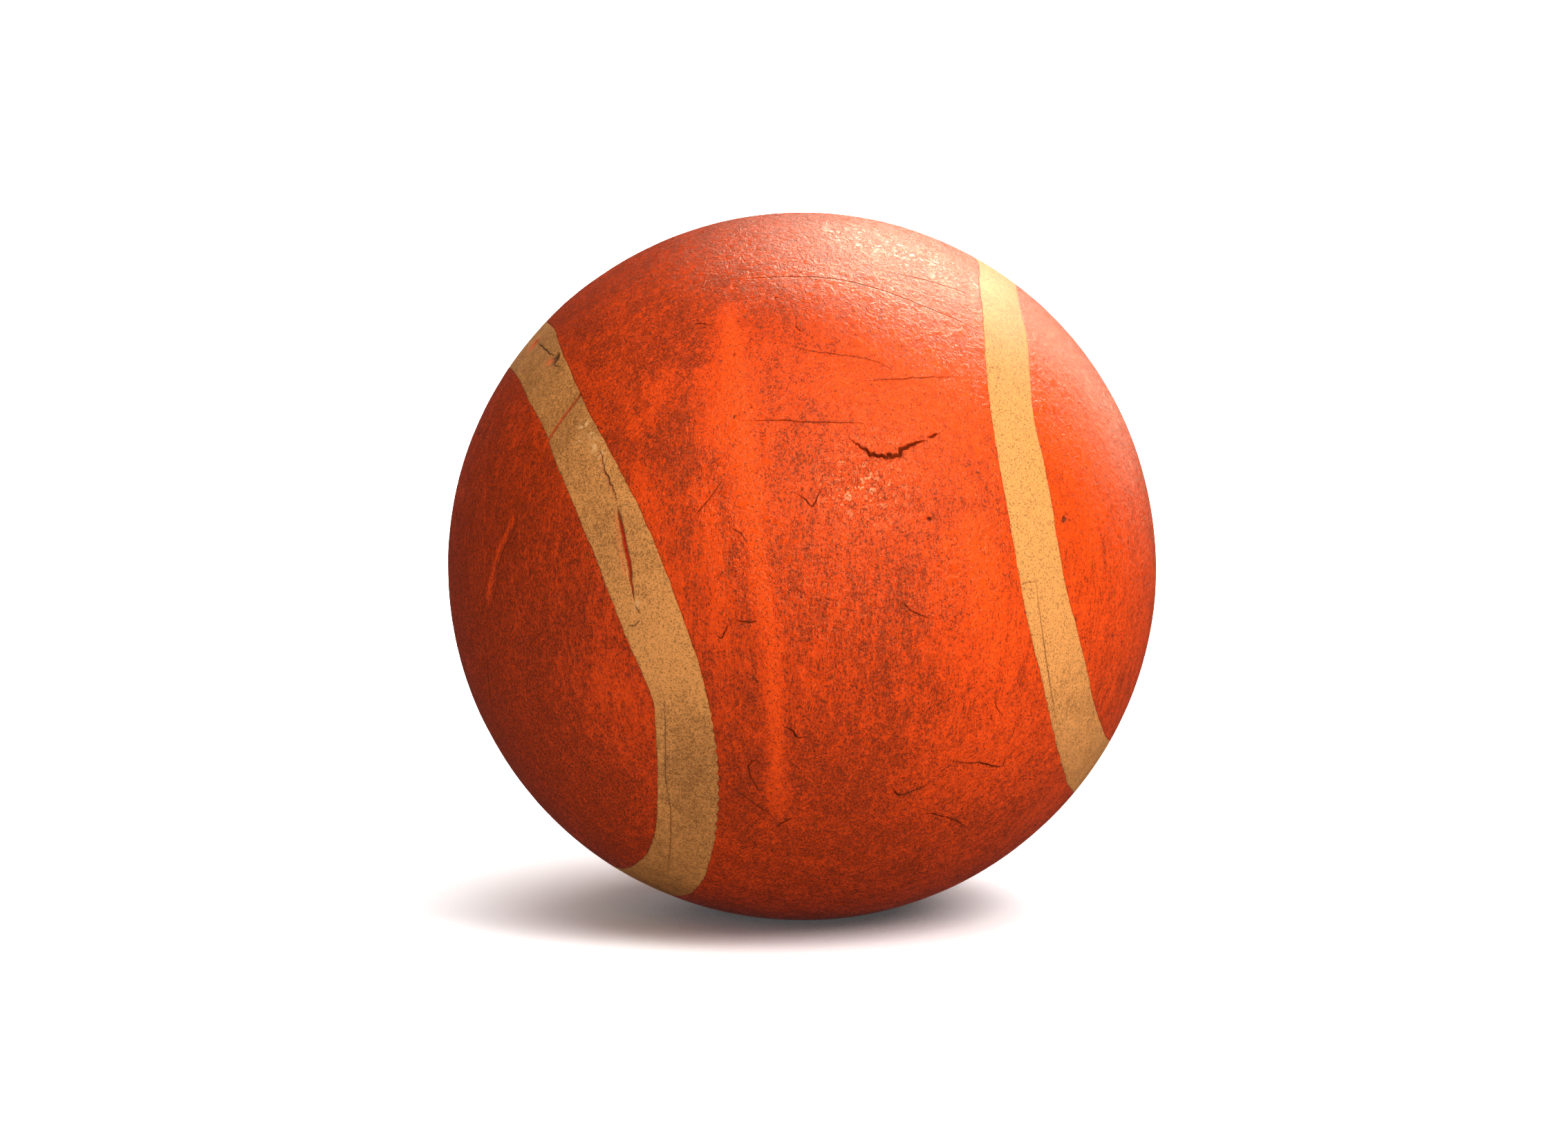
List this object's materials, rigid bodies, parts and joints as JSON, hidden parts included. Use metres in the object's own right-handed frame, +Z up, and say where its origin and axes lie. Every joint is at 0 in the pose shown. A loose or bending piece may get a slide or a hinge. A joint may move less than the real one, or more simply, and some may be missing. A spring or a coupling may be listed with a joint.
{
  "type": "rubber cricket ball",
  "caption": "Hollow rubber ball for bowling and batting practice, with a cover of dumbbell-shaped panels, a strip laid over their seam, and a small pressed flat to rest on.",
  "frame": {"origin": "centre of the small rest flat, in the plane of the surface that the ball rests on; the ball's centre is 35.2 mm above it", "axes": "+Z up through the ball's centre, -Y to the front where the cover's narrow waist faces, +X to the right"},
  "size_m": [0.072, 0.072, 0.0712],
  "materials": {
    "core_rubber": "moulded brown-red rubber, matt",
    "cover_rubber": "worn orange-red rubber, satin, crazed and dirty in the pores",
    "strip_rubber": "ochre rubber sheet, satin, speckled with dirt",
    "cement": "dried rubber cement, matt"
  },
  "bodies": {
    "root": {"core_half_left": "core_rubber", "core_half_right": "core_rubber", "core_joint_cement": "cement", "cover_cement": "cement", "cover_panel_front": "cover_rubber", "cover_panel_side": "cover_rubber", "panel_joint_cement": "cement", "strip_cement": "cement", "seam_strip": "strip_rubber"}
  },
  "joints": []
}
